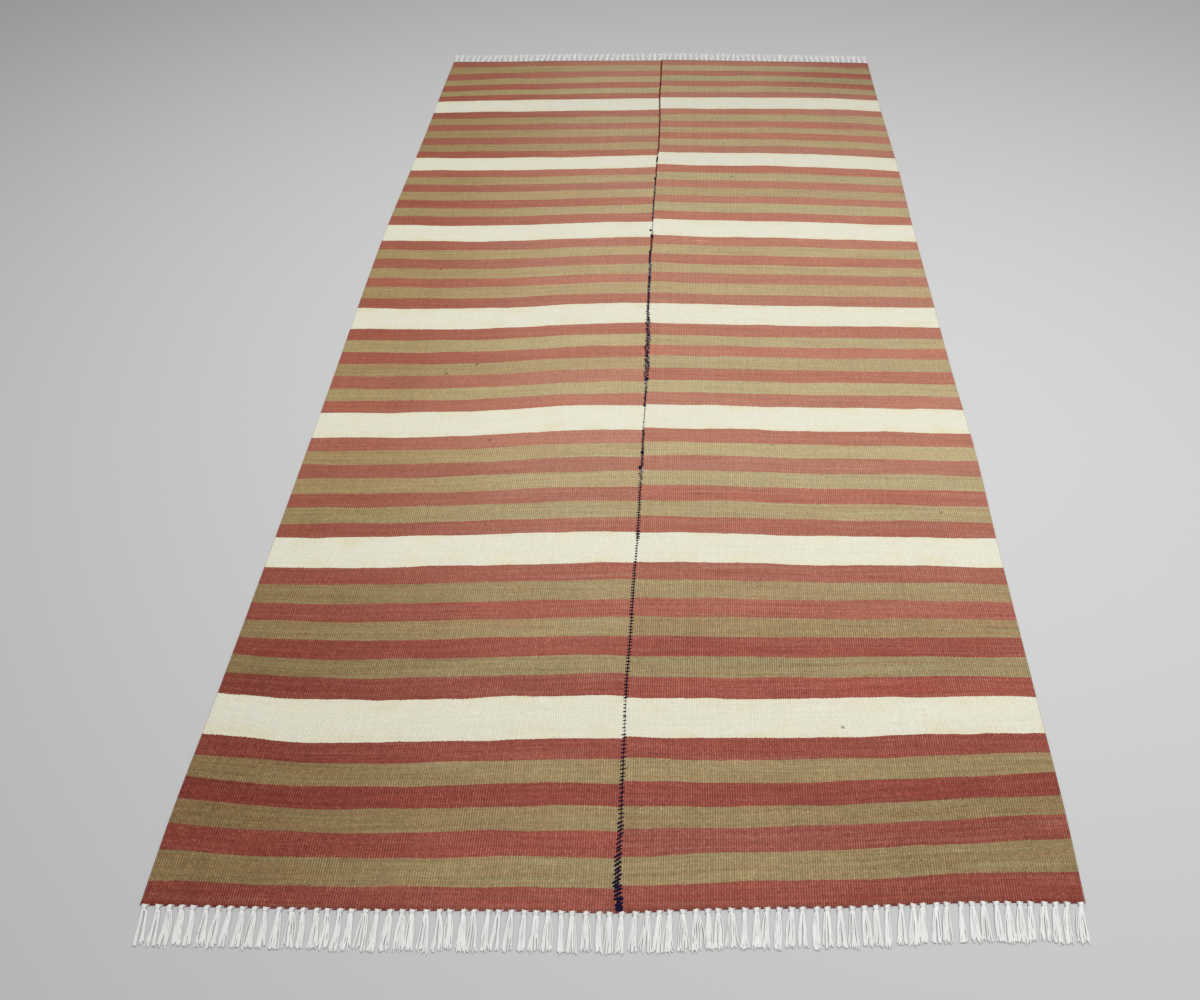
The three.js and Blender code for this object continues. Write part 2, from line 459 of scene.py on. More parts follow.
THREADS = 12  # in a tassel
THREAD_RADIUS = 1.25
THREAD_STATIONS = np.array([0, 0.1, 0.22, 0.36, 0.5, 0.64, 0.78, 0.89, 0.96, 0.985, 1])
TIP_TAPER = np.array([1, 1, 1, 1, 1, 1, 1, 1, 0.95, 0.8, 0.4])
LOOSE_WIDTH = {1: 13.0, 2: 7.2}  # of a lock at its tip, for one or two locks to a tassel
BUNDLE_WIDTH = 3.8  # of all the threads as they leave the knot
BUNDLE_OUT = 2.0  # how far past a knot's middle its threads start
FULLNESS = (0.75, 1.3)  # how widely a tassel's threads spread, as a share of the usual
FAN = (0.4, 0.8)  # the lower, the sooner a thread leaves its neighbours
STRAY_SHARE = 0.06  # of the threads lie away from their lock
CLUMP = 2.0  # threads that lie against each other

# How unevenly the threads lie, in millimetres.
CLUMP_SHIFT = 0.9
THREAD_SHIFT = 0.25
STRAY_SHIFT = 4.5
LENGTH_SHIFT = 1.8
ROUNDED_BY = 2.5  # how much shorter a lock gets across its whole width
BEND = 0.9
WAVE = 0.45
CURL = 3.2
CURL_FROM = 0.7  # the share of a thread's length where its tip starts to curl

ROOT_LIFT = 1.4  # how far above the floor the lower threads leave the knot
LAYER_LIFT = 0.5  # how much more the upper ones are lifted there
LAYER_STACK = 1.8  # how far the upper threads lie above the lower ones

KNOT_OUT = 3.2  # from the cloth's edge to a knot's middle
KNOT_LENGTH = 8.6
KNOT_WIDTH = 9.4
KNOT_HEIGHT = 7.0
KNOT_LOOPS = 3
LOOP_PITCH = 2.3
LOOP_RADIUS = 0.9
LOOP_SLANT = 1.5
LOOP_SUNK = 0.5  # how deep a loop lies in its knot

WARP_OFFSETS = (-4.5, -2.0, 0.5, 3.5, 7.0)  # of the warps that a knot gathers
WARP_RADIUS = 0.85
WARP_INSIDE = 1.8  # how far inside the cloth the warps start
WARP_PAST = 1.0  # how far past a knot's middle they end, less that


def thread_paths(tassel, outward, rng):
    """The loose threads of a tassel, from inside its knot to its tips, lying on the floor."""
    steps = THREAD_STATIONS
    tips = tassel["tips"]
    share = THREADS // len(tips)
    fullness = rng.uniform(*FULLNESS)
    clump_shift = rng.normal(0, CLUMP_SHIFT, THREADS)
    paths = []
    for k in range(THREADS):
        tip_x, tip_y = tips[k // share]
        column = (k % share + 0.5) / share - 0.5
        stray = rng.normal(0, STRAY_SHIFT) if rng.random() < STRAY_SHARE else 0.0
        shift = clump_shift[round(k / CLUMP) % THREADS] + rng.normal(0, THREAD_SHIFT) + stray
        end_x = tip_x + LOOSE_WIDTH[len(tips)] * fullness * column + shift
        end_y = tip_y + outward * (rng.normal(0, LENGTH_SHIFT) - ROUNDED_BY * abs(column))
        start_x = tassel["x"] + BUNDLE_WIDTH * ((k + 0.5) / THREADS - 0.5)
        start_y = tassel["y"] + outward * (KNOT_OUT + BUNDLE_OUT)
        fan = steps ** rng.uniform(*FAN)
        bend = rng.normal(0, BEND) * np.sin(math.pi * steps)
        wave = rng.normal(0, WAVE) * np.sin(3 * math.pi * steps)
        curl = rng.normal(0, CURL) * np.clip(steps - CURL_FROM, 0, 1) ** 2 * 5
        x = start_x + (end_x - start_x) * fan + bend + wave + curl
        y = start_y + (end_y - start_y) * steps
        layer = k % 2
        drop = (ROOT_LIFT + LAYER_LIFT * layer) * (1 - soft_step(steps, 0, 0.3))
        stack = layer * LAYER_STACK * (1 - 0.6 * soft_step(steps, 0.3, 0.9))
        paths.append(np.stack([x, y, THREAD_RADIUS + drop + stack], -1))
    return paths


def warp_paths(tassel, outward, rng):
    """The warps between the woven edge and the knot."""
    steps = np.linspace(0, 1, 5)
    paths = []
    for offset in WARP_OFFSETS:
        spread = (offset + rng.normal(0, 0.3)) * (1 - 0.65 * soft_step(steps, 0, 1))
        y = tassel["y"] + outward * (-WARP_INSIDE + (KNOT_OUT + WARP_PAST) * steps)
        paths.append(np.stack([tassel["x"] + spread, y, 1.3 + 1.2 * steps], -1))
    return paths


def knot_core(tassel, outward):
    """The middle line of a knot, and its half widths there."""
    steps = np.sin(np.linspace(-0.49, 0.49, 8) * math.pi)
    y = tassel["y"] + outward * (KNOT_OUT + KNOT_LENGTH / 2 * steps)
    path = np.stack([np.full(len(y), tassel["x"]), y, np.zeros(len(y))], -1)
    return path, KNOT_WIDTH / 2 * np.sqrt(1 - steps**2)


def knot_cores(tassels, outward):
    """The round bodies of the knots, flattened to their height on the floor."""
    cores = [knot_core(tassel, outward) for tassel in tassels]
    paths, radii = zip(*cores)
    points, faces, values = tubes(paths, radii, 10, marks=dict(knotted=np.ones(len(cores))))
    points[:, 2] = KNOT_HEIGHT / 2 + points[:, 2] * KNOT_HEIGHT / KNOT_WIDTH
    return points, faces, values


def knot_paths(tassel, outward, rng):
    """The loops on a knot, which lie slanting round it."""
    turn = np.linspace(-0.06, 1.06, 14) * 2 * math.pi - math.pi / 2
    skew = rng.choice([-1, 1]) * LOOP_SLANT
    paths = []
    for k in range(KNOT_LOOPS):
        out = (k - (KNOT_LOOPS - 1) / 2) * LOOP_PITCH + rng.normal(0, 0.15)
        round_off = math.sqrt(1 - (2 * out / KNOT_LENGTH) ** 2)
        wide = (KNOT_WIDTH / 2 - LOOP_SUNK) * round_off * rng.uniform(0.95, 1.05)
        high = (KNOT_HEIGHT / 2 - LOOP_SUNK) * round_off
        x = tassel["x"] + wide * np.cos(turn)
        y = tassel["y"] + outward * (KNOT_OUT + out + (skew + rng.normal(0, 0.3)) * np.cos(turn))
        z = LOOP_RADIUS + KNOT_HEIGHT / 2 - LOOP_SUNK + high * np.sin(turn)
        paths.append(np.stack([x, y, z], -1))
    return paths


def make_fringe(panel, end):
    """All the tassels of one end of a panel as one mesh."""
    rng = np.random.default_rng(FRINGE_SEED + 2 * ENDS.index(end) + PANELS.index(panel))
    outward = FRINGES[end]["outward"]
    tassels = [tassel for tassel in tassel_plan(end) if tassel["panel"] == panel]
    threads = []
    warps = []
    loops = []
    for tassel in tassels:
        threads += thread_paths(tassel, outward, rng)
        warps += warp_paths(tassel, outward, rng)
        loops += knot_paths(tassel, outward, rng)
    parts = [
        tubes(threads, THREAD_RADIUS * TIP_TAPER, 5, marks=dict(knotted=np.zeros(len(threads)))),
        tubes(warps, WARP_RADIUS, 5, marks=dict(knotted=np.zeros(len(warps)))),
        knot_cores(tassels, outward),
        tubes(loops, LOOP_RADIUS, 6, up=(0, 1, 0), marks=dict(knotted=np.ones(len(loops)))),
    ]
    return joined(f"tassels_{end}_{panel}", parts)


# The seam's stitches, in runs along the rug, in millimetres. Width is across the seam, slant is
# how much further along the right end of a stitch lies, and shift is how far the run lies to
# the right of the seam. Loose is how unevenly the stitches lie, and worn is the share of them
# that have bleached to blue-grey.

SEAM_RUNS = [
    dict(start=2, stop=12, pitch=6.6, width=12, slant=6, shift=4, thread=4.8, loose=0.9),
    dict(start=12, stop=36, pitch=6.6, width=11.5, slant=6, shift=1.5, thread=4.8, loose=0.8),
    dict(start=36, stop=90, pitch=7.4, width=10.5, slant=7, shift=-2, thread=4.3, loose=0.8),
    dict(start=90, stop=150, pitch=7.8, width=9.5, slant=6, shift=-1, thread=3.6, loose=0.8),
    dict(start=150, stop=330, pitch=8.2, width=9, slant=2.5, shift=-0.5, thread=3.0, loose=0.7),
    dict(start=160, stop=330, pitch=8.5, width=0.5, slant=8.5, shift=0, thread=1.0, loose=0.2),
    dict(start=330, stop=372, pitch=7.6, width=6.5, slant=2, shift=-1, thread=2.2, loose=0.4, worn=0.3),
    dict(start=372, stop=412, pitch=8.3, width=5.4, slant=0, shift=-1, thread=2.5, loose=0.4, worn=0.2),
    dict(start=413, stop=620, pitch=8.0, width=8, slant=1, shift=0, thread=2.8, loose=0.4),
    dict(start=620, stop=764, pitch=8.0, width=8, slant=1, shift=-1.5, thread=2.8, loose=0.4),
    dict(start=413, stop=758, pitch=8.5, width=0.5, slant=8.5, shift=-0.4, thread=1.2, loose=0.3),
    dict(start=764, stop=833, pitch=7.8, width=4.6, slant=0.5, shift=-0.5, thread=2.8, loose=0.4, worn=0.2),
    dict(start=833, stop=856, pitch=5, width=7.2, slant=1, shift=0, thread=3.0, loose=0.4),
    dict(start=856, stop=1000, pitch=8.0, width=7.6, slant=1, shift=0, thread=2.8, loose=0.5),
    dict(start=850, stop=1000, pitch=8.5, width=0.5, slant=8.5, shift=0, thread=1.2, loose=0.3),
    dict(start=1000, stop=1052, pitch=7, width=8.5, slant=-6, shift=-0.5, thread=2.8, loose=1, worn=0.15),
    dict(start=1066, stop=1195, pitch=5.6, width=6.2, slant=-3, shift=0, thread=2.8, loose=0.5),
    dict(start=1195, stop=1225, pitch=8, width=5, slant=2, shift=0, thread=1.9, loose=0.6, worn=0.6),
    dict(start=1225, stop=1282, pitch=8, width=4, slant=4, shift=0, thread=1.9, loose=0.5, worn=1),
    dict(start=1284, stop=1340, pitch=4.4, width=5.5, slant=-3, shift=-1, thread=2.4, loose=0.6),
    dict(start=1340, stop=1385, pitch=5.5, width=7, slant=-2, shift=-0.5, thread=2.4, loose=0.8, worn=0.25),
    dict(start=1388, stop=1650, pitch=6.6, width=5.8, slant=-2, shift=-3, thread=3.2, loose=1.1, worn=0.05),
    dict(start=1391, stop=1650, pitch=6.6, width=5.8, slant=-2, shift=3, thread=3.2, loose=1.1, worn=0.05),
    dict(start=1389, stop=1650, pitch=9, width=3, slant=3, shift=0, thread=1.5, loose=1, worn=0.4),
    dict(start=1650, stop=1735, pitch=5.4, width=7.5, slant=-3, shift=-0.5, thread=3.0, loose=1),
    dict(start=1735, stop=1925, pitch=5.2, width=7.2, slant=-3, shift=-0.5, thread=2.9, loose=0.8, worn=0.18),
    dict(start=1925, stop=1992, pitch=5, width=6.4, slant=-3, shift=-2, thread=2.8, loose=0.5),
    dict(start=2070, stop=2084, pitch=4.5, width=7.5, slant=-3, shift=-0.5, thread=2.6, loose=0.5),
    dict(start=2084, stop=2110, pitch=6, width=2.5, slant=4, shift=1, thread=1.6, loose=0.8),
    dict(start=2110, stop=2165, pitch=6, width=1.6, slant=6, shift=-1, thread=1.1, loose=0.5, worn=1),
    dict(start=2165, stop=2425, pitch=4.6, width=3.9, slant=-4, shift=-1, thread=2.4, loose=0.5, worn=0.1),
    dict(start=2512, stop=2530, pitch=4.6, width=2.5, slant=-4, shift=0, thread=1.4, loose=0.5, worn=1),
    dict(start=2530, stop=2565, pitch=4.6, width=4.2, slant=-4, shift=-0.5, thread=2.6, loose=0.5),
    dict(start=2565, stop=2590, pitch=4.6, width=2.5, slant=-4, shift=0, thread=1.4, loose=0.5, worn=1),
]

# The stretches that were sewn again with russet thread.
MENDED_RUNS = [
    dict(start=1996, stop=2066, pitch=4.4, width=5.6, slant=-4, shift=0.5, thread=2.8, loose=0.6),
    dict(start=2425, stop=2512, pitch=4.6, width=4.6, slant=-4, shift=0, thread=2.4, loose=0.5),
    dict(start=2590, stop=2950, pitch=4.6, width=4.8, slant=-4, shift=-0.5, thread=2.5, loose=0.6),
    dict(start=2950, stop=3322, pitch=4.6, width=4.6, slant=-4, shift=-1, thread=2.6, loose=0.6),
]

# Where the sewing thread is knotted, with the size of each tangle.
SEAM_KNOTS = [
    dict(y=-5, shift=4.5, width=13, length=12),
    dict(y=1060, shift=-3, width=8, length=12),
    dict(y=1112, shift=0, width=7, length=10),
    dict(y=1286, shift=-1, width=7, length=7),
    dict(y=1390, shift=0, width=10, length=15),
    dict(y=1853, shift=0, width=7, length=18),
    dict(y=1990, shift=-2, width=6, length=12),
    dict(y=2068, shift=1, width=7, length=12),
    dict(y=2106, shift=-5, width=6, length=9),
    dict(y=2330, shift=0, width=4, length=8),
    dict(y=2419, shift=-3, width=6, length=10),
    dict(y=2545, shift=-1, width=4, length=24),
    dict(y=3118, shift=0, width=5, length=14),
]


STITCH_ENDS = 1.1  # how deep in the cloth a stitch ends
STITCH_RISE = 1.9  # how much higher its middle lies
STITCH_FLAT = 1.7  # the higher, the longer the stitch's level middle
TANGLE_THREADS = 3
TANGLE_RADIUS = 1.1
SEAM_SEED = 5


def stitch_path(middle, y, width, slant, rng):
    """A stitch that comes up through the cloth, crosses the seam and goes down again."""
    steps = np.linspace(0, 1, 9)
    arch = np.sin(math.pi * steps)
    x = middle + width * (steps - 0.5)
    at_y = y + slant * (steps - 0.5) + rng.normal(0, 0.3) * arch
    z = cloth_top(x, at_y) - STITCH_ENDS + STITCH_RISE * np.minimum(arch * STITCH_FLAT, 1.0)
    return np.stack([x, at_y, z], -1)


def seam_stitches(runs, mended, rng):
    """The stitches of some runs as threads, each marked by how worn it is."""
    paths = []
    radii = []
    worn = []
    for run in runs:
        loose = run["loose"]
        y = run["start"]
        while y < run["stop"]:
            width = run["width"] * rng.uniform(1 - 0.25 * loose, 1 + 0.2 * loose)
            slant = run["slant"] + rng.normal(0, 1.2 * loose)
            sway = 0.6 * math.sin(y / 41) + rng.normal(0, loose)
            middle = float(long_line("seam", y)) + run["shift"] + sway
            paths.append(stitch_path(middle, y, width, slant, rng))
            radii.append(run["thread"] / 2 * rng.uniform(0.88, 1.08))
            worn.append(rng.uniform(0.7, 1.0) if rng.random() < run.get("worn", 0) else 0.0)
            y += run["pitch"] * rng.uniform(1 - 0.2 * loose, 1 + 0.2 * loose)
    marks = dict(worn=worn, mended=np.full(len(paths), mended))
    return tubes(paths, np.array(radii)[:, None], 6, marks=marks)


def seam_tangles(rng):
    """The knots in the sewing thread, each a few closed loops that cross at its middle."""
    turn = np.linspace(0, 1, 48) * 2 * math.pi
    paths = []
    for knot in SEAM_KNOTS:
        middle = float(long_line("seam", knot["y"])) + knot["shift"]
        for _ in range(TANGLE_THREADS):
            lag = rng.uniform(0, 2 * math.pi, 3)
            reach = 0.55 + 0.35 * np.sin(3 * turn + lag[0])
            x = middle + knot["width"] / 2 * reach * np.cos(2 * turn + lag[1])
            y = knot["y"] + knot["length"] / 2 * reach * np.sin(2 * turn + lag[1])
            z = cloth_top(x, y) + 0.9 + 0.9 * np.sin(5 * turn + lag[2])
            paths.append(np.stack([x, y, z], -1))
    none = np.zeros(len(paths))
    return tubes(paths, TANGLE_RADIUS, 6, marks=dict(worn=none, mended=none))


def make_seam():
    """All the stitches and tangles of the seam as one mesh."""
    rng = np.random.default_rng(SEAM_SEED)
    sewn = seam_stitches(SEAM_RUNS, 0.0, rng)
    mended = seam_stitches(MENDED_RUNS, 1.0, rng)
    return joined("seam_stitches", [sewn, mended, seam_tangles(rng)])


# Materials

class Nodes:
    """Adds nodes to one material, each call giving back the socket that it makes."""

    def __init__(self, name, roughness, sheen):
        self.material = bpy.data.materials.new(name)
        self.material.use_nodes = True
        self.tree = self.material.node_tree
        self.shader = self.tree.nodes["Principled BSDF"]
        self.shader.inputs["Roughness"].default_value = roughness
        self.shader.inputs["Specular IOR Level"].default_value = 0.1
        self.shader.inputs["Sheen Weight"].default_value = sheen
        self.shader.inputs["Sheen Roughness"].default_value = 0.6

    def put(self, socket, value):
        if hasattr(value, "is_output"):
            self.tree.links.new(value, socket)
        elif socket.type == "VECTOR":
            socket.default_value = value[:3]
        else:
            socket.default_value = value

    def attribute(self, name):
        node = self.tree.nodes.new("ShaderNodeAttribute")
        node.attribute_name = name
        return node.outputs["Fac"]

    def math(self, operation, *values, clamp=False):
        node = self.tree.nodes.new("ShaderNodeMath")
        node.operation = operation
        node.use_clamp = clamp
        for socket, value in zip(node.inputs, values):
            self.put(socket, value)
        return node.outputs[0]

    def vector(self, x=0.0, y=0.0, z=0.0):
        node = self.tree.nodes.new("ShaderNodeCombineXYZ")
        for socket, value in zip(node.inputs, (x, y, z)):
            self.put(socket, value)
        return node.outputs[0]

    def multiply(self, value, *factors):
        for factor in factors:
            value = self.math("MULTIPLY", value, factor)
        return value

    def total(self, *values):
        result = values[0]
        for value in values[1:]:
            result = self.math("ADD", result, value)
        return result

    def noise(self, vector, detail=2.0, roughness=0.5):
        node = self.tree.nodes.new("ShaderNodeTexNoise")
        node.inputs["Scale"].default_value = 1.0
        node.inputs["Detail"].default_value = detail
        node.inputs["Roughness"].default_value = roughness
        self.put(node.inputs["Vector"], vector)
        return node.outputs["Fac"]

    def cell(self, vector):
        node = self.tree.nodes.new("ShaderNodeTexWhiteNoise")
        self.put(node.inputs["Vector"], vector)
        return node.outputs["Value"]

    def ramp(self, value, low, high, to_low=0.0, to_high=1.0):
        node = self.tree.nodes.new("ShaderNodeMapRange")
        for key, number in zip(
            ("Value", "From Min", "From Max", "To Min", "To Max"), (value, low, high, to_low, to_high)
        ):
            self.put(node.inputs[key], number)
        return node.outputs[0]

    def mix(self, factor, a, b):
        node = self.tree.nodes.new("ShaderNodeMix")
        node.data_type = "RGBA"
        colours = [socket for socket in node.inputs if socket.type == "RGBA"]
        self.put(node.inputs[0], factor)
        self.put(colours[0], a)
        self.put(colours[1], b)
        return [socket for socket in node.outputs if socket.type == "RGBA"][0]

    def scaled(self, colour, factor):
        node = self.tree.nodes.new("ShaderNodeVectorMath")
        node.operation = "SCALE"
        self.put(node.inputs[0], colour)
        self.put(node.inputs["Scale"], factor)
        return node.outputs[0]

    def distance(self, vector, point):
        node = self.tree.nodes.new("ShaderNodeVectorMath")
        node.operation = "DISTANCE"
        self.put(node.inputs[0], vector)
        self.put(node.inputs[1], point)
        return node.outputs["Value"]

    def tinted(self, colour, tint):
        node = self.tree.nodes.new("ShaderNodeVectorMath")
        node.operation = "MULTIPLY"
        self.put(node.inputs[0], colour)
        self.put(node.inputs[1], tint)
        return node.outputs[0]

    def bump(self, height, distance, normal=None):
        node = self.tree.nodes.new("ShaderNodeBump")
        node.inputs["Distance"].default_value = distance
        self.put(node.inputs["Height"], height)
        if normal is not None:
            self.put(node.inputs["Normal"], normal)
        return node.outputs[0]

    def finish(self, colour, normal=None):
        self.put(self.shader.inputs["Base Color"], colour)
        if normal is not None:
            self.put(self.shader.inputs["Normal"], normal)
        return self.material


def srgb(red, green, blue):
    """A colour given as seen, from 0 to 255, as the linear colour that Blender takes."""
    parts = [c / 255 for c in (red, green, blue)]
    linear = [c / 12.92 if c <= 0.04045 else ((c + 0.055) / 1.055) ** 2.4 for c in parts]
    return (*linear, 1.0)


# Each dye as it looks beside the cream at the four corners: near left, near right, far left
# and far right.
REDS = (srgb(131, 62, 52), srgb(154, 82, 71), srgb(164, 97, 79), srgb(183, 125, 105))
TANS = (srgb(134, 110, 74), srgb(159, 137, 100), srgb(166, 145, 102), srgb(184, 166, 127))
CREAM = srgb(230, 227, 208)
STAINED = srgb(228, 217, 178)
CREST_HIGHLIGHT_AND_WEAR = srgb(214, 190, 158)  # painted highlight on the tops of the ribs, partly pale worn fibres
COTTON = srgb(252, 251, 249)
NAVY = srgb(29, 22, 50)
BLEACHED_NAVY = srgb(112, 124, 146)
RUSSET = srgb(104, 40, 38)
PICK = 1.35  # millimetres from one weft to the next, as beaten down
RIB_WIDTH = 4.6
LAST_PLACE = len(GROUPS["left"]) * GROUP_PERIOD - 1.1  # in the last stripe, before its far end
BUMP = 0.0005  # metres

# What each stretch of dyed yarn is multiplied by, where it took more dye or less, and where it
# looks cooler or warmer.
DEEP_TINT = (1.06, 0.88, 0.86, 1.0)
PALE_TINT = (0.94, 1.11, 1.12, 1.0)
COOL_TINT = (0.98, 1.0, 1.04, 1.0)
WARM_TINT = (1.02, 1.0, 0.95, 1.0)

# Spots in the cloth that stand out: the panel, the place counted in stripes from the near end,
# the place across the panel, the size in millimetres and how dark or pale the spot is.
SPOTS = [
    dict(panel="right", stripe=7.25, across=0.52, wide=8, long=7, tone=-0.6),
    dict(panel="right", stripe=17.6, across=0.86, wide=9, long=9, tone=-0.4),
    dict(panel="right", stripe=18.45, across=0.17, wide=26, long=5, tone=-0.25),
    dict(panel="right", stripe=21.95, across=0.39, wide=10, long=7, tone=-0.4),
    dict(panel="left", stripe=22.6, across=0.54, wide=11, long=9, tone=-0.5),
    dict(panel="left", stripe=27.15, across=0.36, wide=12, long=9, tone=-0.5),
    dict(panel="left", stripe=27.9, across=0.45, wide=12, long=9, tone=-0.5),
    dict(panel="left", stripe=35.95, across=0.25, wide=11, long=11, tone=-0.4),
    dict(panel="right", stripe=38.55, across=0.19, wide=60, long=10, tone=0.3),
    dict(panel="right", stripe=45.4, across=0.76, wide=12, long=13, tone=-0.3),
    dict(panel="right", stripe=45.5, across=0.31, wide=12, long=13, tone=-0.45),
]


def spot_place(spot):
    """Where a spot lies across the ribs and along the wefts, in millimetres."""
    lines = stripe_lines(spot["panel"])
    rib = PANELS.index(spot["panel"]) * FIRST_RIGHT_RIB + spot["across"] * RIBS
    return rib * RIB_WIDTH, float(np.interp(spot["stripe"], np.arange(len(lines)), lines))


def dye(n, four, along):
    """A dye, mixed from how it looks at the four corners, faded this far along the rug."""
    across = n.attribute("faded_across")
    near = n.mix(across, four[0], four[1])
    far = n.mix(across, four[2], four[3])
    return n.mix(along, near, far)


class Weave:
    """Where a point of the cloth lies in its weave, as sockets of the wool's material."""

    def __init__(self, n):
        self.n = n
        self.pick = n.attribute("pick")
        self.rib = n.attribute("rib")
        self.side = n.math("MULTIPLY", self.rib, RIB_WIDTH)
        self.faded = n.attribute("faded_along")

        # Each rib's own number, and 0 in the grooves to 1 on the crests.
        self.rib_number = n.math("FLOOR", self.rib)
        self.odd_rib = n.math("MODULO", self.rib_number, 2.0)
        self.crest = n.math("MULTIPLY", n.math("PINGPONG", self.rib, 0.5), 2.0)
        self.on_right = n.math("GREATER_THAN", self.rib, float(RIBS))
        self.odd_pick = n.math("MULTIPLY_ADD", self.odd_rib, 0.5, n.math("DIVIDE", self.pick, PICK))

        self.stripe = self.toothed_stripe()
        self.stripe_number = n.math("FLOOR", self.stripe)
        self.place = n.math("MODULO", self.stripe, float(GROUP_PERIOD))
        self.is_cream = n.math("GREATER_THAN", self.place, float(STRIPES_PER_GROUP))
        self.is_tan = n.math("GREATER_THAN", n.math("MODULO", self.place, 2.0), 1.0)

    def field(self, across, along, layer, low, high, detail=2.0):
        """Soft noise from low to high, with features of this size in millimetres."""
        n = self.n
        where = n.vector(n.math("DIVIDE", self.side, across), n.math("DIVIDE", self.pick, along), layer)
        return n.ramp(n.noise(where, detail=detail), 0.25, 0.75, low, high)

    def toothed_stripe(self):
        """The stripe's number and how far through it a point lies.

        Wefts turn over every other rib, so a stripe's edge is finely toothed, and each rib packs
        a little differently.
        """
        n = self.n
        tooth = n.math("MULTIPLY_ADD", self.odd_rib, 0.006, -0.003)
        packing = n.ramp(n.cell(n.vector(self.rib_number, 1.0)), 0.0, 1.0, -0.004, 0.004)
        waver = self.field(55, 30, 0.0, -0.022, 0.022)
        turned = n.total(n.attribute("stripe"), tooth, packing, waver)
        return n.math("MINIMUM", n.math("MAXIMUM", turned, 0.0), LAST_PLACE)


def dyed_wool(n, weave):
    """The red and tan stripes: each took the dye in its own way, as did each stretch of yarn."""
    own = n.vector(weave.stripe_number, weave.on_right)
    depth = n.total(
        n.ramp(n.cell(own), 0.0, 1.0, -0.2, 0.2),
        weave.field(330, 9, 5.0, -0.3, 0.3),
        weave.field(160, 3, 7.0, -0.2, 0.2),
    )
    faded = n.total(weave.faded, n.multiply(depth, 0.5))
    colour = n.mix(weave.is_tan, dye(n, REDS, faded), dye(n, TANS, faded))
    tint = n.ramp(depth, -0.6, 0.6)
    colour = n.tinted(colour, n.mix(tint, DEEP_TINT, PALE_TINT))
    return n.tinted(colour, n.mix(weave.field(45, 14, 17.0, 0.0, 1.0), COOL_TINT, WARM_TINT))


def cream_wool(n, weave):
    """The cream bands, yellowed here and there beside the coloured stripes."""
    into_band = n.math("SUBTRACT", weave.place, float(STRIPES_PER_GROUP))
    from_edge = n.math("MULTIPLY", n.math("PINGPONG", into_band, 0.5), 1.2)
    stain = n.math("SUBTRACT", weave.field(70, 45, 9.0, -0.1, 0.75), from_edge)
    return n.mix(n.math("MAXIMUM", stain, 0.0), CREAM, STAINED)


def grain_and_rib_shade(n, weave):
    """Light and dark along the weft and on each float of yarn, with painted shade in the grooves and a
    painted highlight on the crests.
    """
    def of_cell(x, y, z, spread):
        return n.ramp(n.cell(n.vector(x, y, z)), 0.0, 1.0, -spread, spread)

    coarse_pick = n.math("FLOOR", n.math("DIVIDE", weave.odd_pick, 4.0))
    coarse_grain = n.cell(n.vector(weave.rib_number, coarse_pick))
    tone = n.total(
        of_cell(weave.stripe_number, weave.on_right, 2.0, 0.06),
        weave.field(260, 7, 15.0, -0.09, 0.09),
        weave.field(150, 1.8, 19.0, -0.10, 0.10),
        weave.field(140, 60, 4.0, -0.05, 0.05, detail=3.0),
        n.ramp(coarse_grain, 0.0, 1.0, -0.05, 0.05),
        of_cell(weave.rib_number, n.math("FLOOR", weave.odd_pick), 3.0, 0.10),
        of_cell(weave.rib_number, 11.0, 0.0, 0.03),
    )
    # Painted shade in the grooves and a painted highlight on the crests, stronger on some ribs than on
    # others.
    painted_rib_shade = n.multiply(
        n.ramp(weave.crest, 0.15, 0.85, -0.17, 0.17),
        weave.field(120, 60, 13.0, 0.4, 1.6),
        n.ramp(coarse_grain, 0.0, 1.0, 0.6, 1.4),
    )
    tone = n.total(tone, painted_rib_shade)

    # A few short floats are much darker or paler than the rest.
    float_pick = n.math("FLOOR", n.math("DIVIDE", weave.pick, 2.0))
    chance = n.cell(n.vector(weave.rib_number, float_pick, 8.0))
    tone = n.math("MULTIPLY_ADD", n.math("GREATER_THAN", chance, 0.95), -0.16, tone)
    tone = n.math("MULTIPLY_ADD", n.math("LESS_THAN", chance, 0.05), 0.14, tone)

    # The weave stands out most at the near end, and least on the cream.
    on_cream = n.ramp(weave.is_cream, 0.0, 1.0, 1.0, 0.3)
    return n.multiply(tone, n.multiply(on_cream, n.ramp(weave.faded, 0.0, 1.0, 1.15, 0.85)))


def flaws(n, weave, tone):
    """The tone with its slubs, short thick places in the yarn, and its single spots."""
    across = n.math("DIVIDE", weave.side, 12.0)
    slub = n.noise(n.vector(across, n.math("DIVIDE", weave.pick, 2.0), 21.0))
    tone = n.multiply(tone, n.ramp(slub, 0.74, 0.80, 1.0, 0.6))
    for spot in SPOTS:
        side, pick = spot_place(spot)
        wide = spot["wide"]
        long = spot["long"]
        where = n.vector(n.math("DIVIDE", weave.side, wide), n.math("DIVIDE", weave.pick, long))
        away = n.distance(where, (side / wide, pick / long, 0.0))
        tone = n.multiply(tone, n.ramp(away, 0.25, 0.6, 1.0 + spot["tone"], 1.0))
    return tone


def wool_material():
    n = Nodes("striped_wool", roughness=0.95, sheen=0.0)
    weave = Weave(n)
    colour = n.mix(weave.is_cream, dyed_wool(n, weave), cream_wool(n, weave))
    tone = grain_and_rib_shade(n, weave)

    # The lighter crests are mixed towards a pale colour, a painted highlight that partly stands for pale worn
    # fibres, but for those of the cream.
    crest_highlight_share = n.ramp(weave.is_cream, 0.0, 1.0, 0.18, 0.0)
    colour = n.mix(n.multiply(n.math("MAXIMUM", tone, 0.0), crest_highlight_share), colour, CREST_HIGHLIGHT_AND_WEAR)
    tone = flaws(n, weave, n.math("ADD", tone, 1.0))

    float_height = n.math("PINGPONG", weave.odd_pick, 0.5)
    height = n.math("MULTIPLY_ADD", float_height, 0.5, weave.crest)
    return n.finish(n.scaled(colour, tone), n.bump(height, BUMP))


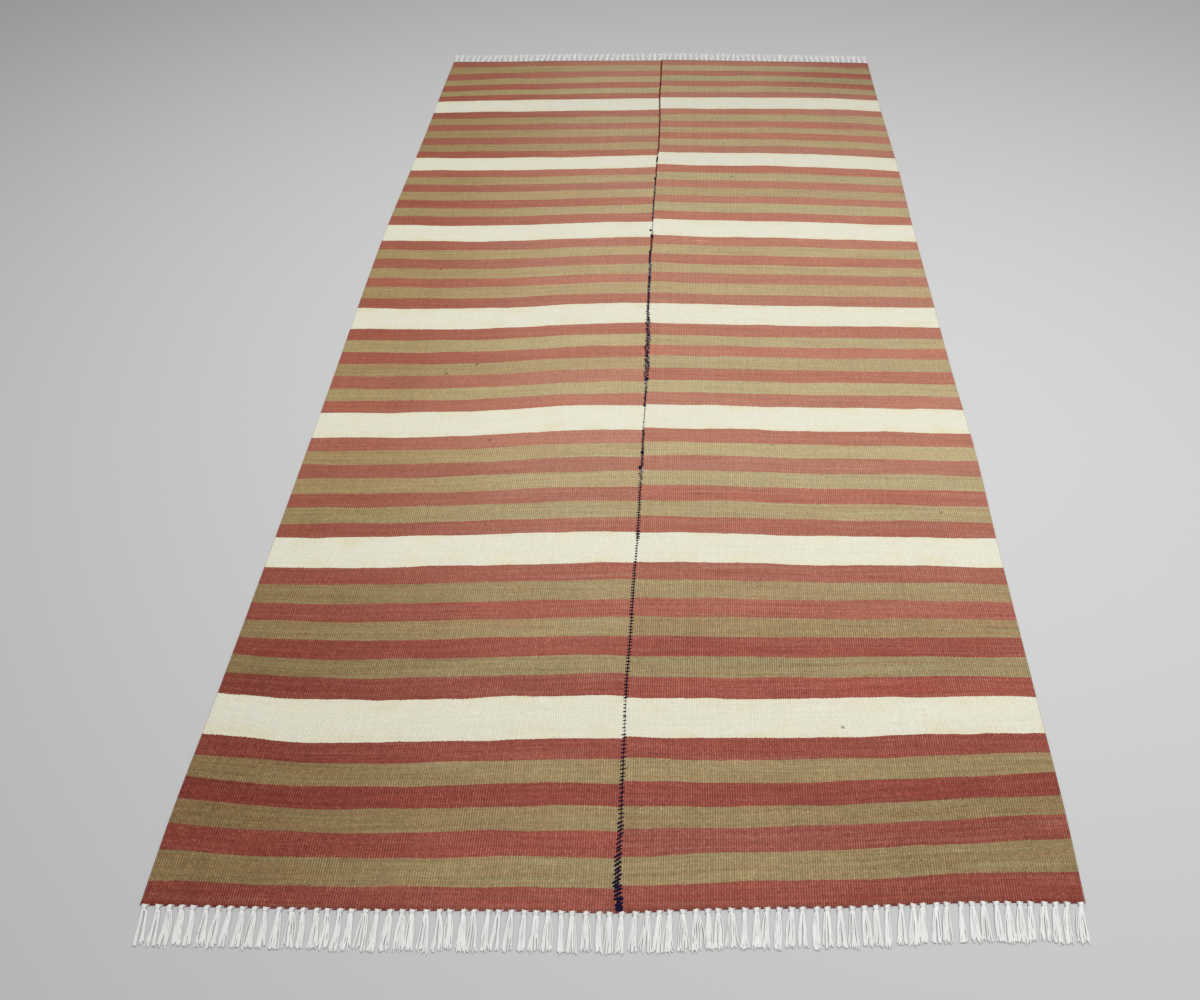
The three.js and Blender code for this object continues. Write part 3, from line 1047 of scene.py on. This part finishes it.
def cotton_material():
    n = Nodes("fringe_cotton", roughness=0.9, sheen=0.0)
    thread = n.attribute("thread")
    tone = n.ramp(n.cell(n.vector(thread, 2.0)), 0.0, 1.0, 0.91, 1.03)
    # The knots are kept at full brightness, lighter than most threads: a painted highlight where light falls
    # on their tops.
    tone = n.math("MAXIMUM", tone, n.attribute("knotted"))
    spin = n.multiply(n.attribute("along"), 0.42)
    spin = n.math("MULTIPLY_ADD", n.attribute("around"), 2.0, spin)
    ply = n.math("PINGPONG", spin, 0.5)
    # The grooves between the plies are painted darker, a painted shade.
    tone = n.multiply(tone, n.ramp(ply, 0.0, 0.25, 0.88, 1.0))
    return n.finish(n.scaled(COTTON, tone), n.bump(ply, BUMP))


def navy_material():
    n = Nodes("seam_thread", roughness=0.8, sheen=0.0)
    along = n.attribute("along")
    tone = n.ramp(n.cell(n.vector(n.attribute("thread"), 5.0)), 0.0, 1.0, 0.8, 1.3)
    spin = n.math("PINGPONG", n.math("MULTIPLY", along, 0.5), 0.5)
    colour = n.mix(n.attribute("worn"), NAVY, BLEACHED_NAVY)
    colour = n.mix(n.attribute("mended"), colour, RUSSET)
    return n.finish(n.scaled(colour, tone), n.bump(spin, BUMP))


# The pieces, each riding on the body and standing for its solids

wool = wool_material()
cotton = cotton_material()
navy = navy_material()

for panel in PANELS:
    cloth = make_cloth(panel)
    cloth.data.materials.append(wool)
    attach(cloth, "root")
    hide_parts(f"panel_{panel}")
    for end in ENDS:
        fringe = make_fringe(panel, end)
        fringe.data.materials.append(cotton)
        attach(fringe, "root")
        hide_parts(f"fringe_{end}_{panel}")

seam = make_seam()
seam.data.materials.append(navy)
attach(seam, "root")


# The floor, the light and the camera

CAMERA_PLACE = (135.0, -733.4, 1761.3)  # in the rug's own measure
CAMERA_DOWN = 46.205  # degrees below level
FOCAL_PIXELS = 1047.0
IMAGE_WIDTH = 1200.0
AXIS_PIXEL = 695.0  # the photograph's column that the lens points at
SENSOR = 36.0

FLOOR_SIZE = 30
FLOOR_DROP = 0.0004  # the floor lies this far under the rug, so that the two never coincide
FLOOR_COLOUR = srgb(206, 206, 206)
ROOM_LIGHT = 0.32


def make_floor():
    bpy.ops.mesh.primitive_plane_add(size=FLOOR_SIZE, location=(0, 0, -FLOOR_DROP))
    floor = bpy.context.object
    floor.name = "floor"
    n = Nodes("floor", roughness=0.9, sheen=0.0)
    floor.data.materials.append(n.finish(FLOOR_COLOUR))


def make_light(name, place, target, size, power):
    data = bpy.data.lights.new(name, "AREA")
    data.shape = "DISK"
    data.size = size
    data.energy = power
    light = bpy.data.objects.new(name, data)
    bpy.context.scene.collection.objects.link(light)
    light.location = place
    aim = Vector(target) - Vector(place)
    light.rotation_euler = aim.to_track_quat("-Z", "Y").to_euler()


def make_camera():
    data = bpy.data.cameras.new("camera")
    data.sensor_width = SENSOR
    data.lens = SENSOR * FOCAL_PIXELS / IMAGE_WIDTH
    data.shift_x = -(AXIS_PIXEL - IMAGE_WIDTH / 2) / IMAGE_WIDTH
    camera = bpy.data.objects.new("camera", data)
    bpy.context.scene.collection.objects.link(camera)
    camera.location = placed([CAMERA_PLACE])[0]
    camera.rotation_euler = (math.radians(90 - CAMERA_DOWN), 0, 0)
    bpy.context.scene.camera = camera


make_floor()
make_light("key", place=(0.85, -1.1, 3.8), target=(1.2, 1.2, 0), size=1.4, power=110)
make_light("fill", place=(-1.2, 0.55, 2.8), target=(0, 0.4, 0), size=2.0, power=18.6)
make_camera()

world = bpy.data.worlds.new("room")
world.use_nodes = True
world.node_tree.nodes["Background"].inputs["Color"].default_value = (1.0, 1.0, 1.0, 1.0)
world.node_tree.nodes["Background"].inputs["Strength"].default_value = ROOM_LIGHT
bpy.context.scene.world = world
bpy.context.scene.view_settings.view_transform = "Standard"
